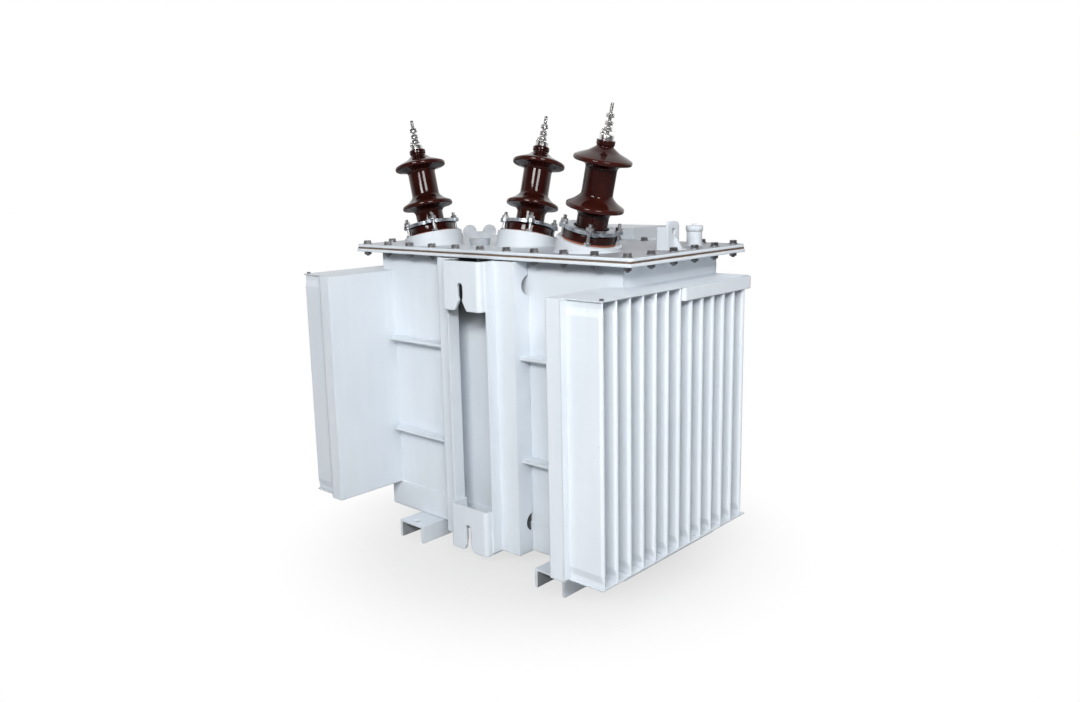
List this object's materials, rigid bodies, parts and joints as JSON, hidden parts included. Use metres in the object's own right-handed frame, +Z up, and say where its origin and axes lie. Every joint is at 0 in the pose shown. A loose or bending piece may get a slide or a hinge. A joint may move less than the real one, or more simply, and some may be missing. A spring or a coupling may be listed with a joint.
{
  "type": "pole-mounted power transformer",
  "caption": "Oil-filled power transformer: sheet steel tank with finned cooling wings, leaning porcelain bushings on a bolted cover, a slotted pole bracket and channel feet.",
  "frame": {"origin": "on the floor under the middle of the whole object's box", "axes": "+Z up; +X along the long side of the tank, towards the filler; -Y towards the pole, where the hanger bracket is"},
  "size_m": [1.091, 0.8508, 1.2049],
  "materials": {
    "tank_paint": "satin",
    "porcelain": "glossy",
    "galvanized_ring": "hot-dip galvanized",
    "terminal_metal": "tinned",
    "cork_gasket": "matt",
    "seal_rubber": "matt"
  },
  "bodies": {
    "root": {"base_pan": "tank_paint", "cover_gasket": "cork_gasket", "cover_plate": "tank_paint", "filler_cap": "tank_paint", "filler_pipe": "tank_paint", "front_ribs": "tank_paint", "left_clamp_ring": "galvanized_ring", "left_fin_bottom_plate": "tank_paint", "left_fin_panel": "tank_paint", "left_fin_tie_bar": "tank_paint", "left_fin_top_plate": "tank_paint", "left_foot": "tank_paint", "left_lifting_lug": "tank_paint", "left_pole_rail": "tank_paint", "left_porcelain": "porcelain", "left_seal": "seal_rubber", "left_tank_end_wall": "tank_paint", "left_terminal": "terminal_metal", "left_turret": "tank_paint", "left_wing_box": "tank_paint", "lower_hanger_lug": "tank_paint", "middle_clamp_ring": "galvanized_ring", "middle_porcelain": "porcelain", "middle_seal": "seal_rubber", "middle_terminal": "terminal_metal", "middle_turret": "tank_paint", "rear_ribs": "tank_paint", "right_clamp_ring": "galvanized_ring", "right_fin_bottom_plate": "tank_paint", "right_fin_panel": "tank_paint", "right_fin_tie_bar": "tank_paint", "right_fin_top_plate": "tank_paint", "right_foot": "tank_paint", "right_lifting_lug": "tank_paint", "right_pole_rail": "tank_paint", "right_porcelain": "porcelain", "right_seal": "seal_rubber", "right_tank_end_wall": "tank_paint", "right_terminal": "terminal_metal", "right_turret": "tank_paint", "right_wing_box": "tank_paint", "rim_flange": "tank_paint", "tank_front_wall": "tank_paint", "tank_rear_wall": "tank_paint", "tap_switch_base": "tank_paint", "tap_switch_handle": "tank_paint", "terminal_box": "tank_paint", "terminal_box_neck": "tank_paint", "upper_hanger_lug": "tank_paint"}
  },
  "joints": []
}
